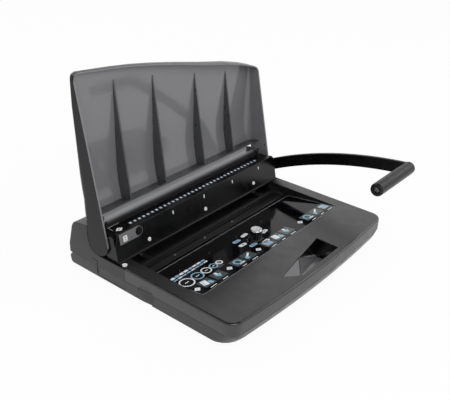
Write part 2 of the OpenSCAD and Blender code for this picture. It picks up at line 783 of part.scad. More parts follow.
module dial_spindle() at() color([0.7, 0.7, 0.72]) {
    translate([0, dial_y, 24]) cylinder(r = 3, h = 24);
}

module dial_knob() at() color([0.08, 0.08, 0.085]) {
    difference() {
        translate([0, dial_y, 35.8]) union() {
            cylinder(r = knob_r - 0.7, h = knob_h - 2);
            cylinder(r = knob_r, h = 2.2);
            for (k = [0:17]) {
                rotate(k * 20) translate([knob_r - 0.9, 0, 0]) cylinder(r = 0.75, h = knob_h - 3, $fn = 8);
            }
        }
        translate([0, dial_y, 30]) cylinder(r = 3, h = 18);
    }
}

module dial_cap() at() color([0.82, 0.82, 0.83]) {
    translate([0, dial_y, 35.8 + knob_h - 2]) rotate_extrude()
        polygon([[0, 0], [knob_r - 0.9, 0], [knob_r - 1.1, 1.4], [knob_r - 1.8, 2], [0, 2]]);
}

module selector_knob() at() color([0.05, 0.05, 0.055]) {
    on_slope(-16 * pitch, 68.6) {
        difference() {
            rotate([90, 0, 0]) cylinder(r = 4.4, h = 2.2);
            translate([-0.5, -3, -5]) cube([1, 1.6, 10]);
        }
        translate([0, 4, 0]) rotate([90, 0, 0]) cylinder(r = 2.9, h = 4.2);
    }
}

base_tray();
deck_shell();
rear_housing();
front_plate();
peg_strip();
die_plate();
stripper_plate();
throat_floor();
frame_brackets();
shaft_bushes();
hinge_pins();
label_sheet();
plate_label();
plate_screws();
slot_tabs();
groove_screws();
corner_plug();
stop_posts();
case_screws();
feet();
chip_tray();
cover();
cover_ribs();
cover_flange();
lever_arm();
lever_hub();
hub_bolt();
grip();
grip_rod();
grip_cap();
drive_shaft();
pinions();
ram_bar();
ram_racks();
punch_pins();
jaw_bar();
jaw_arms();
stop_bar();
stop_tongue();
stop_roller();
dial_knob();
dial_cap();
dial_spindle();
dial_cam();
selector_knob();
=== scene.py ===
import bpy, bmesh, math
from mathutils import Matrix, Vector


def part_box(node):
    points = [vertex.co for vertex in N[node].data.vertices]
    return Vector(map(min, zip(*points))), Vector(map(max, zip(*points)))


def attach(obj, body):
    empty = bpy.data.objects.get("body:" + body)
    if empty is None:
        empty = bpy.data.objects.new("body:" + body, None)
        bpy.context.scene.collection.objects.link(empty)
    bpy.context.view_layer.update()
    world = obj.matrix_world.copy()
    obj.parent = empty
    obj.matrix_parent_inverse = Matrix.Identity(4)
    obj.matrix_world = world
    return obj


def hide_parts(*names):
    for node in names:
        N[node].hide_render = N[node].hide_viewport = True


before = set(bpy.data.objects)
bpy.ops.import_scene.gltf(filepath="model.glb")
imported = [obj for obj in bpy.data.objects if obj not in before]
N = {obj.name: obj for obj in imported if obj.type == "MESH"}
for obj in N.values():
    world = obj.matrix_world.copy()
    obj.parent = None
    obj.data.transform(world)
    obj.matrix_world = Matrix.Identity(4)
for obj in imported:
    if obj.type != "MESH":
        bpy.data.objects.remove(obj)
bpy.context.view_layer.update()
sc = bpy.context.scene

# ---------------------------------------------------------------- sizes of the part's source, in mm
# The source counts from the middle of its punch row, with y = 0 at mid depth.
PITCH = 8.4667                          # of the punched holes
HALF_W = 183.5                          # half the case's width
LEFT = -HALF_W
DECK_Z, PART_Z = 39, 20                 # top of the deck, parting line of the case
RAMP_Y, RAMP_S = -78, 0.133             # front edge and fall of the ramp under the label
LABEL_MARGIN = 1                        # from the ramp's edge to the label
DIAL_Y = -40                            # the size dial, at x = 0
FACE_Y, STRIP_Z = 61.8, 78              # where the punch plate's sloping face meets its top strip
FACE_K = 7.4 / 38.5                     # how far that face leans for its height
FACE_C = math.cos(math.atan(FACE_K))
SELECTOR_X, SELECTOR_Z = -16 * PITCH, 68.6

# the row frame's origin in the source's frame, found from the label, which is centred on the ramp
label_lo, label_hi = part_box("label_sheet")
OX = -500 * (label_lo[0] + label_hi[0])
OY = RAMP_Y + LABEL_MARGIN - 1000 * label_lo[1]


def mm(x, y, z):
    """A point of the source's frame, in metres of the row frame."""
    return Vector(((x - OX) / 1000, (y - OY) / 1000, z / 1000))


def back_mm(p):
    """The other way round: a point of the row frame in the source's mm."""
    return Vector((p[0] * 1000 + OX, p[1] * 1000 + OY, p[2] * 1000))


# ---------------------------------------------------------------- node trees and materials
def add_node(tree, kind, **sets):
    """A new node. Each set is an input of that name or else a property."""
    n = tree.nodes.new(kind)
    for k, v in sets.items():
        if k in n.inputs:
            n.inputs[k].default_value = v
        else:
            setattr(n, k, v)
    return n


def feed(tree, v, socket):
    """Links an output to the socket, or sets a value there; a colour gets its alpha."""
    if hasattr(v, "links"):
        tree.links.new(v, socket)
    else:
        socket.default_value = (*v, 1) if isinstance(v, tuple) else v


def lin(c):
    """A colour from 0 to 255 in sRGB, made linear."""
    return tuple(((v / 12.92) if v <= 0.04045 else ((v + 0.055) / 1.055) ** 2.4) for v in (x / 255 for x in c))


def shade(c, k, add=0.0):
    return tuple(min(1, v * k + add) for v in c)


class Mat:
    """A material on a Principled shader, with short calls for the nodes that feed it."""

    def __init__(self, name):
        self.m = bpy.data.materials.new(name)
        self.m.use_nodes = True
        self.t = self.m.node_tree
        self.b = self.t.nodes["Principled BSDF"]
        self.co = self.node("ShaderNodeTexCoord").outputs["Object"]
        self.rounded = None

    def node(self, kind, **sets):
        return add_node(self.t, kind, **sets)

    def link(self, a, b):
        self.t.links.new(a, b)

    def noise(self, scale, detail=4.0, rough=0.55, stretch=(1, 1, 1)):
        mp = self.node("ShaderNodeMapping", Scale=stretch)
        self.link(self.co, mp.inputs["Vector"])
        n = self.node("ShaderNodeTexNoise", Scale=scale, Detail=detail, Roughness=rough)
        self.link(mp.outputs["Vector"], n.inputs["Vector"])
        return n.outputs["Fac"]

    def voronoi(self, scale):
        n = self.node("ShaderNodeTexVoronoi", Scale=scale)
        self.link(self.co, n.inputs["Vector"])
        return n.outputs["Distance"]

    def ramp(self, fac, stops):
        """A curve of greys: stops are (position, value) pairs."""
        n = self.node("ShaderNodeValToRGB")
        el = n.color_ramp.elements
        while len(el) < len(stops):
            el.new(0.5)
        for e, (p, v) in zip(el, stops):
            e.position = p
            e.color = (v, v, v, 1)
        self.link(fac, n.inputs["Fac"])
        return n.outputs["Color"]

    def mix(self, fac, a, b, mode="MIX"):
        n = self.node("ShaderNodeMix", data_type="RGBA", blend_type=mode)
        for sock, v in ((0, fac), (6, a), (7, b)):
            feed(self.t, v, n.inputs[sock])
        return n.outputs[2]

    def span(self, fac, lo, hi, a=0.3, b=0.7):
        """Maps a to b onto lo to hi. Noise lies mostly between 0.3 and 0.7."""
        n = self.node("ShaderNodeMapRange", **{"From Min": a, "From Max": b, "To Min": lo, "To Max": hi})
        self.link(fac, n.inputs["Value"])
        return n.outputs["Result"]

    def bump(self, height, strength, dist, normal=None):
        n = self.node("ShaderNodeBump", Strength=strength, Distance=dist)
        self.link(height, n.inputs["Height"])
        if normal is not None:
            self.link(normal, n.inputs["Normal"])
        return n.outputs["Normal"]

    def edge(self, radius):
        self.rounded = self.node("ShaderNodeBevel", samples=6, Radius=radius).outputs["Normal"]
        return self.rounded

    def worn(self, radius, most):
        """0 on a face, up to most along an edge, where the rounded normal turns from the face's own; patchy."""
        dot = self.node("ShaderNodeVectorMath", operation="DOT_PRODUCT")
        self.link(self.edge(radius), dot.inputs[0])
        self.link(self.node("ShaderNodeNewGeometry").outputs["Normal"], dot.inputs[1])
        turned = self.span(dot.outputs["Value"], most, 0.0, 0.80, 0.97)
        patch = self.node("ShaderNodeMath", operation="MULTIPLY")
        self.link(turned, patch.inputs[0])
        self.link(self.span(self.noise(90, 4), 0.25, 1.0), patch.inputs[1])
        return patch.outputs[0]

    def mottle(self, scale, c, low, high, add=0.0):
        """The colour, varied slowly between two shades of it."""
        return self.mix(self.span(self.noise(scale, 3), 0, 1), shade(c, low), shade(c, high, add))

    def surface(self, colour, rough, normal, spec=0.5, metallic=0.0):
        """Feeds the shader and gives the finished material."""
        self.link(colour, self.b.inputs["Base Color"])
        self.link(rough, self.b.inputs["Roughness"])
        self.link(normal, self.b.inputs["Normal"])
        self.b.inputs["Specular IOR Level"].default_value = spec
        self.b.inputs["Metallic"].default_value = metallic
        return self.m


def plastic(name, rgb, rough, grain=2600, depth=0.00006, spec=0.5, vary=0.06, edge=0.0007, wear=0.10):
    """Moulded plastic with a fine grain; its edges are paler where wear is set."""
    m = Mat(name)
    c = lin(rgb)
    col = m.mottle(14, c, 1 - vary, 1 + vary)
    if wear:
        col = m.mix(m.worn(edge, wear), col, shade(c, 1.8, 0.10))
    elif edge:
        m.edge(edge)
    n = m.bump(m.noise(grain, 2, 0.6), 0.35, depth, m.rounded)
    n = m.bump(m.voronoi(grain * 0.6), 0.25, depth * 0.7, n)
    return m.surface(col, m.span(m.noise(55, 4), rough - 0.05, rough + 0.06), n, spec)


def band(m, axis, stops):
    """0 to 1 along one axis of the machine: stops are (mm, value) pairs, low to high."""
    sep = m.node("ShaderNodeSeparateXYZ")
    m.link(m.co, sep.inputs["Vector"])
    shift = (OX, OY, 0)["XYZ".index(axis)]
    lo, hi = stops[0][0], stops[-1][0]
    fac = m.span(sep.outputs[axis], 0, 1, (lo - shift) / 1000, (hi - shift) / 1000)
    return m.ramp(fac, [((p - lo) / (hi - lo), v) for p, v in stops])


def housing(name, rgb, highlight_rgb, rough):
    """The case plastic, with a pale band of painted light behind the throat, fading into painted shade towards
    it.
    """
    m = Mat(name)
    strip = m.mix(1.0, band(m, "Y", [(87, 0), (93, 0.04), (96, 0.4), (99, 1), (106, 1), (112, 0.45)]),
                  band(m, "Z", [(76, 0), (78, 1), (90, 1)]), "MULTIPLY")
    strip = m.mix(1.0, strip, band(m, "X", [(-172, 0), (-170, 1), (170, 1), (172, 0)]), "MULTIPLY")
    col = m.mix(strip, m.mottle(14, lin(rgb), 0.94, 1.06), lin(highlight_rgb))
    n = m.bump(m.noise(2600, 2, 0.6), 0.35, 0.00004, m.edge(0.0007))
    return m.surface(col, m.span(m.noise(55, 4), rough - 0.05, rough + 0.06), n)


def metal(name, rgb, rough, stretch=(1, 60, 60), edge=0.0004):
    """Bare metal. Its grain runs along the axis that stretch keeps at 1."""
    m = Mat(name)
    c = lin(rgb)
    brush = m.noise(320, 6, 0.7, stretch)
    col = m.mix(m.span(brush, 0, 1), shade(c, 0.82), shade(c, 1.08))
    col = m.mix(m.span(m.noise(22, 3), 0, 0.35), col, shade(c, 0.7))
    n = m.bump(brush, 0.25, 0.00003, m.edge(edge))
    return m.surface(col, m.span(brush, rough - 0.07, rough + 0.1), n, metallic=1.0)


def powder(name, rgb, rough, spec=0.5):
    """Powder coat with its orange peel, worn to grey along the edges."""
    m = Mat(name)
    col = m.mottle(18, lin(rgb), 0.85, 1.2, 0.001)
    col = m.mix(m.worn(0.0006, 0.3), col, (0.12, 0.12, 0.125))
    n = m.bump(m.noise(900, 2, 0.5), 0.3, 0.00003, m.rounded)
    return m.surface(col, m.span(m.noise(70, 4), rough - 0.05, rough + 0.07), n, spec)


def rubber(name, rgb, rough, spec=0.5):
    m = Mat(name)
    c = lin(rgb)
    col = m.mix(m.span(m.noise(30, 4), 0, 1), shade(c, 0.85), shade(c, 1.18))
    n = m.bump(m.noise(3200, 3, 0.6), 0.5, 0.00008, m.edge(0.0006))
    return m.surface(col, m.span(m.noise(120, 4), rough - 0.08, rough + 0.08), n, spec)


def ink(name, rgb, rough, vary):
    return plastic("ink_" + name, rgb, rough, depth=0.000006, wear=0.0, vary=vary, edge=0.0001)


CASE = plastic("case_plastic", (14, 14, 16), 0.34, depth=0.00004, spec=0.95, wear=0.25)
# Painted light: highlight_rgb is a pale band on the housing behind the throat, standing in for light there.
HOUSING = housing("housing_plastic", (24, 24, 26), (156, 156, 159), 0.34)
# Painted highlight: the deck's rounded rim gets a glossier copy of the case plastic, a little paler where it
# catches the light.
CASE_EDGE_HIGHLIGHT = plastic("case_edge_painted_highlight", (20, 20, 22), 0.16, depth=0.00002, spec=0.7, vary=0.04, wear=0.0)
# Painted shade: near-black on the scoop's walls and on the grooves' walls, where shade falls.
PAINTED_SHADE = plastic("scoop_wall_painted_shade", (6, 6, 7), 0.22, depth=0.00002, vary=0.04, wear=0.0)
# Painted light: a pale grey on the scoop's floor, standing in for the light it catches.
PAINTED_SCOOP_LIGHT = plastic("scoop_floor_painted_light", (96, 96, 98), 0.2, depth=0.00002, spec=0.7, vary=0.04, wear=0.0)
CASE_LOW = plastic("case_lower_plastic", (30, 30, 32), 0.34, depth=0.00004, spec=0.6, wear=0.25)
# The smoked, see-through cover is given as opaque copies of one plastic: the pale panel is its tone with
# painted light coming through it, and the darker copies on its side walls, flange, ribs and rim are painted
# shade.
COVER = plastic("cover_plastic_and_painted_light", (121, 121, 124), 0.075, grain=3000, depth=0.000004, vary=0.03, wear=0.0)
COVER_SIDE_SHADE = plastic("cover_side_painted_shade", (30, 30, 32), 0.24, grain=3000, depth=0.00001, spec=0.18,
                     vary=0.04, wear=0.2)
COVER_FLANGE_SHADE = plastic("cover_flange_painted_shade", (54, 54, 56), 0.3, depth=0.00002, wear=0.05)
COVER_RIB_SHADE = plastic("cover_rib_painted_shade", (70, 71, 73), 0.3, depth=0.00002, wear=0.0, edge=0.0)
COVER_RIM_SHADE = plastic("cover_rim_painted_shade", (34, 34, 36), 0.3, depth=0.00001, spec=0.25, vary=0.04, wear=0.0)
PLATE = powder("plate_powder", (3, 3, 4), 0.22, spec=0.28)
LEVER = powder("lever_powder", (3, 3, 3), 0.3, spec=0.35)
GRIP = rubber("grip_rubber", (12, 12, 14), 0.34, 0.32)
FOOT = rubber("foot_rubber", (34, 34, 34), 0.8)
STEEL = metal("ground_steel", (150, 150, 154), 0.32)
BLACKED = powder("blacked_steel", (12, 12, 13), 0.3)
ZINC = metal("zinc_steel", (170, 170, 174), 0.36, (8, 8, 8))
BRONZE = metal("sintered_bronze", (170, 140, 92), 0.45, (4, 4, 4))
PEG = plastic("peg_plastic", (190, 210, 224), 0.32, depth=0.00002, wear=0.0, vary=0.03)
# Painted shade: a dark grey on the pegs' sloping ends.
PEG_SHADE = plastic("peg_slope_painted_shade", (30, 34, 38), 0.4, depth=0.00002, wear=0.0)
GLOSS = plastic("label_gloss", (4, 4, 6), 0.07, grain=900, depth=0.000003, spec=0.16, wear=0.0, edge=0.0002)
LABEL_GREY = plastic("label_grey", (108, 108, 110), 0.3, depth=0.00001, wear=0.0, edge=0.0002)
WHITE = plastic("white_plastic", (232, 232, 232), 0.35, depth=0.00002, wear=0.0, vary=0.02)
KNOB = plastic("knob_black", (7, 7, 8), 0.2, depth=0.00001, wear=0.2, edge=0.0002)
SILVER = metal("knob_silver", (222, 222, 224), 0.24, (1, 1, 1), 0.0003)
NYLON = plastic("nylon", (212, 206, 186), 0.5, wear=0.0)
STOP = plastic("stop_plastic", (60, 60, 62), 0.5)
INKS = {
    "white": ink("white", (238, 243, 247), 0.22, 0.04),
    "blue": ink("blue", (146, 184, 206), 0.22, 0.05),
    "cell": ink("cell", (66, 76, 77), 0.22, 0.06),
    "dark": ink("dark", (16, 17, 19), 0.25, 0.05),
    # line: a painted highlight, the pale edge of the film where it catches the light
    "line": ink("line", (150, 152, 156), 0.25, 0.05),
}

USE = {
    "base_tray": CASE_LOW, "deck_shell": CASE, "rear_housing": CASE, "front_plate": PLATE, "peg_strip": PEG,
    "die_plate": STEEL, "stripper_plate": STEEL, "throat_floor": STEEL, "frame_brackets": ZINC,
    "shaft_bushes": BRONZE, "hinge_pins": ZINC, "label_sheet": GLOSS, "plate_label": LABEL_GREY,
    "plate_screws": WHITE, "slot_tabs": WHITE, "groove_screws": ZINC, "corner_plug": WHITE, "stop_posts": STOP,
    "case_screws": ZINC, "feet": FOOT, "chip_tray": CASE_LOW, "cover": COVER, "cover_ribs": COVER_RIB_SHADE,
    "cover_flange": COVER_FLANGE_SHADE, "lever_arm": LEVER, "lever_hub": ZINC, "hub_bolt": ZINC, "grip": GRIP,
    "grip_rod": STEEL, "grip_cap": GRIP, "drive_shaft": STEEL, "pinions": STEEL, "ram_bar": STEEL,
    "ram_racks": STEEL, "punch_pins": STEEL, "jaw_bar": BLACKED, "jaw_arms": STEEL, "stop_bar": BLACKED,
    "stop_tongue": STEEL, "stop_roller": NYLON, "dial_knob": KNOB, "dial_cap": SILVER, "dial_spindle": STEEL,
    "dial_cam": NYLON, "selector_knob": KNOB,
}
for name, m in USE.items():
    o = N[name]
    if not o.material_slots:
        o.data.materials.append(m)
    for s in o.material_slots:
        s.material = m

# ---------------------------------------------------------------- mesh helpers
FLAT = (PAINTED_SHADE.name, PAINTED_SCOOP_LIGHT.name)      # faces of these materials stay flat


def verts_of(geom):
    return [g for g in geom if isinstance(g, bmesh.types.BMVert)]


def put(name, bm, mat, body, replaces=(), angle=32, weighted=True, zones=()):
    """Makes the piece. Each zone is (material, test of a face's middle and normal)."""
    me = bpy.data.meshes.new(name)
    for k, (_, test) in enumerate(zones, 1):
        for f in bm.faces:
            if test(back_mm(f.calc_center_median()), f.normal):
                f.material_index = k
    bm.to_mesh(me)
    bm.free()
    for m in (mat, *(z[0] for z in zones)):
        me.materials.append(m)
    level = [k for k, m in enumerate(me.materials) if m.name in FLAT]
    me.polygons.foreach_set("use_smooth", [p.material_index not in level for p in me.polygons])
    me.set_sharp_from_angle(angle=math.radians(angle))
    o = bpy.data.objects.new(name, me)
    sc.collection.objects.link(o)
    if weighted:
        o.modifiers.new("even_normals", "WEIGHTED_NORMAL").keep_sharp = True
    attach(o, body)
    if replaces:
        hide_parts(*replaces)


def groove(depth, y0, y1, z0, z1):
    """A box, in mm, that cuts the case's left end to a depth. It starts 1 mm outside."""
    return LEFT - 1, LEFT + depth, y0, y1, z0, z1


def on_groove(p, box, slack=0.05):
    """Whether a face's middle is on a groove's walls, not on the skin that the groove opens."""
    _, x1, y0, y1, z0, z1 = box
    return (LEFT + slack < p.x < x1 + slack and y0 - slack < p.y < y1 + slack
            and z0 - slack < p.z < z1 + slack)


def carved(bm, boxes):
    """The mesh with the boxes cut from it: each box is (x0, x1, y0, y1, z0, z1) in mm."""
    tool = bmesh.new()
    for x0, x1, y0, y1, z0, z1 in boxes:
        low = [tool.verts.new(mm(x, y, z0)) for x, y in ((x0, y0), (x1, y0), (x1, y1), (x0, y1))]
        up = bmesh.ops.extrude_face_region(tool, geom=[tool.faces.new(low)])["geom"]
        bmesh.ops.translate(tool, verts=verts_of(up), vec=(0, 0, (z1 - z0) / 1000))
    bmesh.ops.recalc_face_normals(tool, faces=tool.faces)
    pair = []
    for label, source in (("host", bm), ("tool", tool)):
        me = bpy.data.meshes.new(label)
        source.to_mesh(me)
        source.free()
        pair.append(bpy.data.objects.new(label, me))
        sc.collection.objects.link(pair[-1])
    cut = pair[0].modifiers.new("cut", "BOOLEAN")
    cut.operation, cut.solver, cut.object = "DIFFERENCE", "EXACT", pair[1]
    cut.use_self = len(boxes) > 1       # otherwise the part that two boxes share is left standing
    done = bpy.data.meshes.new_from_object(pair[0].evaluated_get(bpy.context.evaluated_depsgraph_get()))
    out = bmesh.new()
    out.from_mesh(done)
    for o in pair:
        bpy.data.objects.remove(o)
    return out


def rounded(node, mat, body, passes, angle=32, cuts=(), zones=()):
    """A copy of a CAD node with real rounded edges. Each pass is (test, width in mm, segments). Cuts are
    grooves, whose walls are painted in shade with the near-black of the scoop's walls."""
    bm = bmesh.new()
    bm.from_mesh(N[node].data)
    bmesh.ops.remove_doubles(bm, verts=bm.verts, dist=1e-6)
    bmesh.ops.dissolve_limit(bm, angle_limit=math.radians(0.4), verts=bm.verts, edges=bm.edges,
                             delimit={"NORMAL"})
    for test, width, segments in passes:
        picked = []
        for e in bm.edges:
            if len(e.link_faces) == 2 and e.calc_face_angle() > math.radians(24):
                if test(back_mm(e.verts[0].co), back_mm(e.verts[1].co)):
                    picked.append(e)
        bmesh.ops.bevel(bm, geom=picked, offset=width / 1000, offset_type="OFFSET", segments=segments,
                        profile=0.5, affect="EDGES", clamp_overlap=False, miter_outer="ARC")
    if cuts:
        bm = carved(bm, cuts)
        zones = [*zones, (PAINTED_SHADE, lambda p, n: any(on_groove(p, box) for box in cuts))]
    put(node + "_body", bm, mat, body, (node,), angle=angle, zones=zones)


def flat(bm, loops, lo, hi, place):
    """Adds a thin plate: the first loop is the outline, the others are holes; place sets (u, v, height)."""
    rims = []
    for loop in loops:
        vs = [bm.verts.new(place(u, v, hi)) for u, v in loop]
        rims += [bm.edges.new((a, b)) for a, b in zip(vs, vs[1:] + vs[:1])]
    if len(loops) == 1:
        top = [bm.faces.new(vs)]
    else:
        geom = bmesh.ops.triangle_fill(bm, use_beauty=True, edges=rims)["geom"]
        top = [g for g in geom if isinstance(g, bmesh.types.BMFace)]
    drop = place(0, 0, lo) - place(0, 0, hi)
    for v in verts_of(bmesh.ops.extrude_face_region(bm, geom=top)["geom"]):
        v.co += drop
    bmesh.ops.recalc_face_normals(bm, faces=bm.faces)


def lathe(bm, profile, place, n, radius=lambda r, a, z: r):
    """Turns a profile of (radius, height) points in n steps; radius may vary it round the axis."""
    rings = []
    for r, z in profile:
        if r <= 0:
            rings.append([bm.verts.new(place(0, 0, z))] * n)
            continue
        ring = []
        for k in range(n):
            a = 2 * math.pi * k / n
            ring.append(bm.verts.new(place(radius(r, a, z) * math.cos(a), radius(r, a, z) * math.sin(a), z)))
        rings.append(ring)
    for low, high in zip(rings, rings[1:]):
        for k in range(n):
            q = []
            for v in (low[k], low[(k + 1) % n], high[(k + 1) % n], high[k]):
                if v not in q:
                    q.append(v)
            if len(q) > 2:
                bm.faces.new(q)
    bmesh.ops.recalc_face_normals(bm, faces=bm.faces)


# outlines for flat()
def disc(cx, cy, r, n=30):
    return [(cx + r * math.cos(2 * math.pi * k / n), cy + r * math.sin(2 * math.pi * k / n)) for k in range(n)]


def rrect(cx, cy, w, h, r, turn=0.0, n=5):
    pts = []
    for sx, sy, a0 in ((1, 1, 0), (-1, 1, 90), (-1, -1, 180), (1, -1, 270)):
        for k in range(n + 1):
            a = math.radians(a0 + 90 * k / n)
            pts.append((sx * (w / 2 - r) + r * math.cos(a), sy * (h / 2 - r) + r * math.sin(a)))
    c, s = math.cos(math.radians(turn)), math.sin(math.radians(turn))
    return [(cx + c * u - s * v, cy + s * u + c * v) for u, v in pts]


def rhomb(cx, cy, w, h):
    return [(cx + w / 2, cy), (cx, cy + h / 2), (cx - w / 2, cy), (cx, cy - h / 2)]


# places for flat() and lathe(): u and v along a face, the third out of it
def on_label(u, v, up):
    return mm(u, v, DECK_Z - (v - RAMP_Y) * RAMP_S + up)


def on_face(u, v, up):
    """On the sloping front of the punch plate, where v is the height."""
    return mm(u, FACE_Y - (STRIP_Z - v) * FACE_K - up * FACE_C, v + up * FACE_C * FACE_K)


def on_strip(u, v, up):
    return mm(u, v, STRIP_Z + up)


def on_dial(u, v, z):
    return mm(u, DIAL_Y + v, z)


# ---------------------------------------------------------------- moulded shells with real rounded edges
DECK_RIM_R = 3.0
END_X, FRONT_Y, CORNER_Y, FRONT_HALF = 176, -149.5, -138, 70     # past these lies the rim of the case
SCOOP_HALF, SCOOP_BACK, SCOOP_SHARP = 62, -104, -45     # left of the last, the scoop's rim stays sharp
HINGE_TOP = 84                          # the cover's edges are rounded above its hinge
COVER_WALL = 3.2                        # the cover's side walls lie within this of the case's ends
GROOVE, GROOVE_Y, BEND_Y = 1.6, 93, 105     # width and depth, place and bend of the rear parting groove


def outer(p):
    return abs(p.x) > END_X or p.y < (FRONT_Y if abs(p.x) < FRONT_HALF else CORNER_Y)


def ring_at(z):
    return lambda a, b: all(abs(p.z - z) < 0.2 and outer(p) for p in (a, b))


def in_scoop(p):
    return abs(p.x) < SCOOP_HALF and FRONT_Y < p.y < SCOOP_BACK


def scoop_rim(a, b):
    return all(p.x > SCOOP_SHARP and in_scoop(p) and abs(p.z - DECK_Z) < 0.2 for p in (a, b))


def deck_fillet(p, n):
    return DECK_Z - DECK_RIM_R - 0.1 < p.z < DECK_Z and outer(p) and 0.02 < n.z < 0.998


def scoop_wall_painted_shade(p, n):
    return in_scoop(p) and p.z < DECK_Z - 0.5 and 0.5 > n.z > -0.5


def scoop_floor_painted_light(p, n):
    return in_scoop(p) and p.z < DECK_Z - 0.5 and n.z >= 0.5


def housing_end(a, b):
    return all(abs(p.x) > HALF_W - 0.1 and p.y > 112 and p.z > 24 for p in (a, b))


def cover_edge(a, b):
    return min(a.z, b.z) > HINGE_TOP and max(a.z, b.z) > HINGE_TOP + 6


# Faces painted in shade: the outer faces of the cover's side walls.
def side_wall(p, n):
    return abs(p.x) > HALF_W - COVER_WALL and n.x * p.x > 0.7 * abs(p.x)


def rim_painted_shade(p, n):
    """The cover's top rim, and what faces the user at its left end: faces painted in shade."""
    return (p.z > 190 and n.z > 0.5) or (p.x < -178 and n.y < -0.5)


def plate_top(a, b):
    """The long edges of the plate's top strip."""
    return (all(abs(p.z - STRIP_Z) < 0.1 and (p.y > 83.9 or p.y < FACE_Y + 0.1) for p in (a, b))
            and abs(a.y - b.y) < 0.1)


def peg_end(a, b):
    return min(a.z, b.z) > STRIP_Z + 0.1 and abs(a.y - b.y) < 0.1


def peg_slope_painted_shade(p, n):
    return p.z > STRIP_Z - 1.6 and n.z < 0.95


def arm_outline(a, b):
    """The edges round the arm's two flat sides."""
    return abs(a.x - b.x) < 0.1


rounded("deck_shell", CASE, "case",
        [(ring_at(DECK_Z), DECK_RIM_R, 6), (scoop_rim, 0.9, 3), (ring_at(PART_Z), 0.5, 2)],
        cuts=[groove(1.3, 38.6, 40, PART_Z - 1, DECK_Z - 4)],
        zones=[(CASE_EDGE_HIGHLIGHT, deck_fillet), (PAINTED_SHADE, scoop_wall_painted_shade), (PAINTED_SCOOP_LIGHT, scoop_floor_painted_light)])
rounded("base_tray", CASE_LOW, "case", [(ring_at(PART_Z), 0.5, 2)],
        cuts=[groove(GROOVE, GROOVE_Y, GROOVE_Y + GROOVE, 9, PART_Z + 1)])
rounded("rear_housing", HOUSING, "case", [(housing_end, 1.6, 4)],
        cuts=[groove(GROOVE, GROOVE_Y, GROOVE_Y + GROOVE, PART_Z - 1, 29),
              groove(GROOVE, GROOVE_Y + 1, BEND_Y, 27.8, 29)])
rounded("cover", COVER, "lid", [(cover_edge, 0.7, 3)], angle=26,
        zones=[(COVER_SIDE_SHADE, side_wall), (COVER_RIM_SHADE, rim_painted_shade)])
rounded("front_plate", PLATE, "case", [(plate_top, 0.6, 3)])
rounded("peg_strip", PEG, "case", [(peg_end, 1.2, 1)], zones=[(PEG_SHADE, peg_slope_painted_shade)])
rounded("lever_arm", LEVER, "lever", [(arm_outline, 0.8, 3)])

# ---------------------------------------------------------------- the printed label on the ramp
LABEL_W, LABEL_R = 317, 4.0
LABEL_FRONT, LABEL_BACK = RAMP_Y + LABEL_MARGIN, 13
LABEL_D, LABEL_MID = LABEL_BACK - LABEL_FRONT, (LABEL_FRONT + LABEL_BACK) / 2
DIAL_HOLE_R = 9.6
FILM = 0.3              # thickness of the film; each ink lies at its own height on it
LIFT = {"line": 0.02, "cell": 0.03, "white": 0.06, "blue": 0.06, "dark": 0.09}
BORDER = 0.7            # pale line where the film's edge catches the light

film = bmesh.new()
outline = rrect(0, LABEL_MID, LABEL_W, LABEL_D, LABEL_R)
flat(film, [outline, disc(0, DIAL_Y, DIAL_HOLE_R, 40)], 0, FILM, on_label)
put("label_film", film, GLOSS, "case", ("label_sheet",))

prints = {colour: bmesh.new() for colour in INKS}


def draw(colour, *loops):
    flat(prints[colour], list(loops), FILM - 0.02, FILM + LIFT[colour], on_label)


def size_chart(x0, title_y, ring_y):
    """A title bar of small blocks over a row of rings that shrink to the right."""
    for k in range(8):
        x = x0 + 8.6 * k
        draw("blue" if k % 3 == 1 else "white", rrect(x, title_y, 7.2, 4.6 - 0.2 * k, 0.5))
        draw("white" if k % 3 == 1 else "blue", rrect(x, title_y - 6.1 + 0.1 * k, 7.2, 2.6, 0.5))
    x = x0 + 4
    for k, r in enumerate((11, 9.4, 8, 6.6, 5.4)):
        draw("white" if k % 2 == 0 else "blue", disc(x, ring_y, r, 44), disc(x, ring_y, r - 1.9, 44))
        draw("white", rrect(x, ring_y, r * 0.7, 1.2, 0.4))
        x += 2 * r - 1.2
    draw("cell", rrect(x0 + 62, ring_y - 7.5, 12, 6.5, 0.8))


def step_mark(pips, x, y):
    draw("white", rhomb(x, y, 10.5, 9.5))
    for k in range(pips):
        draw("dark", disc(x + 1.9 * (k - (pips - 1) / 2), y, 0.7, 12))


def sheet_motif(x, y):
    """A sheet with its holes."""
    draw("white", rrect(x - 2.5, y + 1, 9, 12, 0.8, -14))
    draw("blue", rrect(x + 5, y - 3, 5.5, 8, 0.8, 8))
    for j in range(4):
        draw("dark", rrect(x - 5.6 + 0.6 * j, y - 3.4 + 2.6 * j, 1.2, 1.2, 0.2, n=2))


def arrow_motif(x, y):
    """An arrow down to a slot."""
    draw("blue", [(x - 6, y + 2), (x, y - 6), (x + 6, y + 2)])
    draw("white", rrect(x, y + 4.5, 4, 6, 0.6))


def loop_motif(x, y):
    draw("blue", disc(x, y + 0.5, 6.6), disc(x, y + 0.5, 4.2))
    draw("white", rrect(x + 2.5, y - 5.8, 10, 2.6, 0.7))


def lever_motif(x, y):
    """A lever and its travel."""
    draw("white", rrect(x + 0.5, y + 1.5, 14, 3, 1.4, 32))
    draw("blue", disc(x - 5, y - 3, 3.4))


def block_motif(x, y):
    """A bound block."""
    draw("blue", rrect(x + 1.5, y, 10.5, 13, 0.8))
    for j in range(5):
        draw("white", rrect(x - 4.4, y - 5 + 2.5 * j, 4, 1.4, 0.5, n=2))


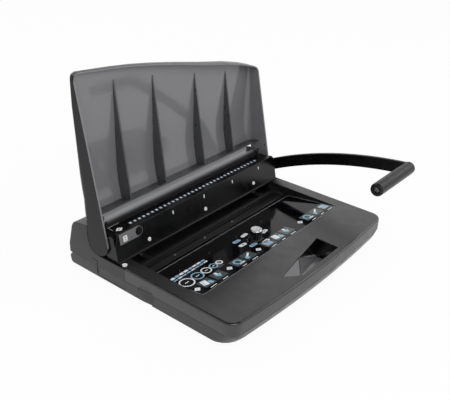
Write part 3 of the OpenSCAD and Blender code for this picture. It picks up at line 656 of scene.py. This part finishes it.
def dial_marks(scale_r=12.2):
    """Six pills with one to six strokes round the dial, and the nine dots of its scale."""
    for k, (x, y) in enumerate(((3, -17), (-19, -20), (-22.6, -34), (-14.6, -47), (5, -55), (29, -34))):
        draw("blue" if k in (1, 3) else "white", rrect(x, y, 14.5, 6.6, 3.2, 6 if x > 0 else -4))
        for j in range(k + 1):
            draw("dark", rrect(x + 1.7 * (j - k / 2), y, 0.7, 2.6, 0.2, 10, n=2))
    for k in range(9):
        a = math.radians(-125 + 250 * k / 8 + 90)
        draw("white", disc(scale_r * math.cos(a), DIAL_Y + scale_r * math.sin(a), 0.6, 10))


MOTIFS = (sheet_motif, arrow_motif, loop_motif, lever_motif, block_motif)
STEP_Y = -61.5          # the four steps, shown by pips, among the cells with a motif each
size_chart(-150, -16.5, -38.5)
for k, x in enumerate((-151.5, -86.5, -22, 82.5)):
    step_mark(k + 1, x, STEP_Y)
for k, x in enumerate((-132, -108, -67, -44, 1, 24.5, 48, 104, 127.5, 149)):
    draw("cell", rrect(x, STEP_Y + 1.5, 20.5 if x < 140 else 15, 18, 1.2))
    draw("white", rrect(x - 1, STEP_Y - 11.6, 12 - 2 * (k % 3), 1.3, 0.4))
    MOTIFS[k % len(MOTIFS)](x, STEP_Y + 1.5)
# Painted highlight: the pale line round the film's edge.
draw("line", outline, rrect(0, LABEL_MID, LABEL_W - 2 * BORDER, LABEL_D - 2 * BORDER, LABEL_R - BORDER))
dial_marks()
for colour, m in INKS.items():
    put("label_print_" + colour, prints[colour], m, "case", weighted=False)

# ---------------------------------------------------------------- small print and markers on the plate
MARK_X = -161
marks = bmesh.new()
flat(marks, [rrect(MARK_X, 67.6, 7.2, 8.2, 1.0), rrect(MARK_X, 69.3, 2.6, 1.8, 0.7),
             rrect(MARK_X, 65.8, 2.6, 1.8, 0.7)], 0.28, 0.42, on_face)
flat(marks, [rhomb(-162, 70, 12.5, 8.8), rhomb(-162, 70, 4, 2.6)], 0.02, 0.3, on_strip)
# Painted highlight: a thin pale L along the corner of the plate's top strip, where its edge catches the light.
corner_highlight_line = [(-170.2, 83.6), (-170.2, 74), (-169.7, 74), (-169.7, 83.1), (-150, 83.1), (-150, 83.6)]
flat(marks, [corner_highlight_line], 0.02, 0.12, on_strip)
put("plate_marks", marks, WHITE, "case")
pin = bmesh.new()
flat(pin, [disc(82, 91, 1.3, 20)], -0.05, 0.12, lambda u, v, up: mm(HALF_W - 2.8 - up, u, v))
put("cover_pin_end", pin, INKS["dark"], "lid", weighted=False)
dark = bmesh.new()
flat(dark, [disc(SELECTOR_X, SELECTOR_Z, r, 44) for r in (6.3, 4.9)], 0.26, 0.36, on_face)
put("selector_ring", dark, INKS["dark"], "case", weighted=False)


# ---------------------------------------------------------------- screws with a cross recess
GRID = (-1, -0.93, -0.8, -0.56, -0.48, -0.21, -0.13, 0, 0.13, 0.21, 0.48, 0.56, 0.8, 0.93, 1)
DOME, RIM_H = 0.55, 0.45        # fall of the dome towards its rim, and the rim's share of the height
CROSS_HALF, CROSS_REACH, CROSS_DEPTH = 0.15, 0.5, 0.55      # shares of the radius and of the height


def cross_head(bm, r, high, place):
    """A domed head on the unit square's grid, pressed into a disc, with a tapered cross."""
    rows = []
    for u in GRID:
        row = []
        for v in GRID:
            x, y = u * math.sqrt(1 - v * v / 2), v * math.sqrt(1 - u * u / 2)
            d = math.hypot(x, y)
            h = high * math.sqrt(max(0.0, 1 - DOME * d * d)) if d < 0.99 else high * RIM_H
            if min(abs(u), abs(v)) < CROSS_HALF and max(abs(u), abs(v)) < CROSS_REACH:
                h -= high * CROSS_DEPTH
            row.append(bm.verts.new(place(x * r, y * r, h)))
        rows.append(row)
    last = len(GRID) - 1
    for i in range(last):
        for j in range(last):
            bm.faces.new((rows[i][j], rows[i + 1][j], rows[i + 1][j + 1], rows[i][j + 1]))
    rim = ([row[0] for row in rows] + rows[last][1:]
           + [row[last] for row in rows[last - 1::-1]] + rows[0][last - 1:0:-1])
    foot = [bm.verts.new(v.co + place(0, 0, -0.05) - place(0, 0, high * RIM_H)) for v in rim]
    for a, b, c, d in zip(rim, rim[1:] + rim[:1], foot[1:] + foot[:1], foot):
        bm.faces.new((a, b, c, d))
    bm.faces.new(foot)
    bmesh.ops.recalc_face_normals(bm, faces=bm.faces)


heads = bmesh.new()
for x in (-119.4, 0, 119.4):
    cross_head(heads, 3.0, 1.4, lambda u, v, h, x=x: on_face(x + u, 49.5 + v * FACE_C, h))
put("plate_screw_heads", heads, WHITE, "case", ("plate_screws",))

heads = bmesh.new()
for x in (-94, -29.5, 35):
    cross_head(heads, 2.0, 0.6, lambda u, v, h, x=x: mm(x + u, 31.8 + v, 22.2 + h))
put("channel_screw_heads", heads, ZINC, "case", ("groove_screws",))

# ---------------------------------------------------------------- size dial: fluted skirt and spun top
FLUTES, FLUTE_DEPTH, FLUTE_LOW, FLUTE_HIGH = 14, 1.1, 38.4, 50.4


def fluted(r, a, z):
    if FLUTE_LOW < z < FLUTE_HIGH:
        return r - FLUTE_DEPTH * max(0.0, math.cos(FLUTES * a)) ** 0.7
    return r


skirt = bmesh.new()
lathe(skirt, [(0, 35.9), (9.7, 35.9), (9.9, 36.3), (9.9, 37.6), (9.6, 38.1), (9.25, 38.3), (9.2, 38.8),
              (8.9, 50.2), (8.8, 50.7), (8.5, 50.9), (0, 50.9)], on_dial, 168, fluted)
put("dial_skirt", skirt, KNOB, "dial", ("dial_knob",), angle=40)
cap = bmesh.new()
lathe(cap, [(0, 50.85), (8.7, 50.85), (8.7, 51.6), (8.4, 52.2), (7.8, 52.6), (7.4, 52.65), (7.2, 52.5),
            (1.0, 52.4), (0.8, 52.5), (0, 52.55)], on_dial, 96)
put("dial_top", cap, SILVER, "dial", ("dial_cap",), angle=40)

# ---------------------------------------------------------------- camera, solved from the photograph
CAM_AT = mm(-699.46, -536.59, 549.71)
CAM_TURN, CAM_UP, CAM_ROLL = (math.radians(v) for v in (-51.528, 27.834, 2.035))
PHOTO_W, FOCAL_PX, SENSOR = 450, 690.14, 36

cam = bpy.data.objects.new("camera", bpy.data.cameras.new("camera"))
sc.collection.objects.link(cam)
sc.camera = cam
back = Vector((math.sin(CAM_TURN) * math.cos(CAM_UP), -math.cos(CAM_TURN) * math.cos(CAM_UP), math.sin(CAM_UP)))
right = Vector((math.cos(CAM_TURN), math.sin(CAM_TURN), 0))
up = back.cross(right)
rolled_right = right * math.cos(CAM_ROLL) + up * math.sin(CAM_ROLL)
rolled_up = up * math.cos(CAM_ROLL) - right * math.sin(CAM_ROLL)
cam.matrix_world = Matrix.Translation(CAM_AT) @ Matrix((rolled_right, rolled_up, back)).transposed().to_4x4()
cam.data.sensor_fit = "HORIZONTAL"
cam.data.sensor_width = SENSOR
cam.data.lens = FOCAL_PX / PHOTO_W * SENSOR
cam.data.clip_start, cam.data.clip_end = 0.05, 20

# ---------------------------------------------------------------- floor, world, lamps
FLOOR_GLOW = 0.93       # share of plain white in the floor that the camera and reflections see
SOFT, ROOF = 0.62, 0.12     # the world's strength as a light, and overhead in reflections

bm = bmesh.new()
bmesh.ops.create_grid(bm, x_segments=2, y_segments=2, size=6)
me = bpy.data.meshes.new("floor")
bm.to_mesh(me)
bm.free()
floor = bpy.data.objects.new("floor", me)
floor.location.z = -0.0004
sc.collection.objects.link(floor)
fm = bpy.data.materials.new("floor_white")
fm.use_nodes = True
t = fm.node_tree
bs = t.nodes["Principled BSDF"]
bs.inputs["Base Color"].default_value = (0.86, 0.86, 0.86, 1)
bs.inputs["Roughness"].default_value = 0.9
bs.inputs["Specular IOR Level"].default_value = 0.1
rays = add_node(t, "ShaderNodeLightPath").outputs
glow = rays["Is Camera Ray"]
for operation, v in (("MAXIMUM", rays["Is Glossy Ray"]), ("MAXIMUM", rays["Is Transmission Ray"]),
                     ("MULTIPLY", FLOOR_GLOW)):
    n = add_node(t, "ShaderNodeMath", operation=operation)
    feed(t, glow, n.inputs[0])
    feed(t, v, n.inputs[1])
    glow = n.outputs[0]
mx = add_node(t, "ShaderNodeMixShader")
for sock, v in enumerate((glow, bs.outputs[0], add_node(t, "ShaderNodeEmission", Strength=1.0).outputs[0])):
    feed(t, v, mx.inputs[sock])
feed(t, mx.outputs[0], t.nodes["Material Output"].inputs["Surface"])
me.materials.append(fm)

# White all round and plainly bright behind the object; what polished surfaces reflect turns dark between
# 40 and 51 degrees up.
w = bpy.data.worlds.new("studio")
sc.world = w
w.use_nodes = True
t = w.node_tree
bg = t.nodes["Background"]
bg.inputs["Color"].default_value = (1, 1, 1, 1)
rays = add_node(t, "ShaderNodeLightPath").outputs
way = add_node(t, "ShaderNodeSeparateXYZ")
feed(t, add_node(t, "ShaderNodeTexCoord").outputs["Generated"], way.inputs[0])
roof = add_node(t, "ShaderNodeMapRange", **{"From Min": 0.64, "From Max": 0.78, "To Min": 1.0, "To Max": ROOF})
feed(t, way.outputs["Z"], roof.inputs["Value"])
level = SOFT
for ray, v in (("Glossy", roof.outputs["Result"]), ("Transmission", 1.0), ("Camera", 1.0)):
    n = add_node(t, "ShaderNodeMix", data_type="FLOAT")
    feed(t, rays["Is " + ray + " Ray"], n.inputs[0])
    feed(t, level, n.inputs[2])
    feed(t, v, n.inputs[3])
    level = n.outputs[0]
feed(t, level, bg.inputs["Strength"])


def lamp(name, at, look, size, power):
    d = bpy.data.lights.new(name, "AREA")
    d.shape = "RECTANGLE"
    d.size, d.size_y = size
    d.energy = power
    o = bpy.data.objects.new(name, d)
    o.location = at
    o.rotation_mode = "QUATERNION"
    o.rotation_quaternion = (Vector(look) - Vector(at)).to_track_quat("-Z", "Y")
    sc.collection.objects.link(o)


lamp("key", (-0.9, -1.5, 1.9), (0, 0, 0.08), (1.6, 1.2), 22)
lamp("fill", (1.6, -0.8, 1.4), (0, 0, 0.1), (1.4, 1.4), 8)
lamp("rim", (0.3, 1.7, 1.6), (0, 0, 0.1), (1.8, 0.8), 9)

sc.view_settings.view_transform = "Standard"
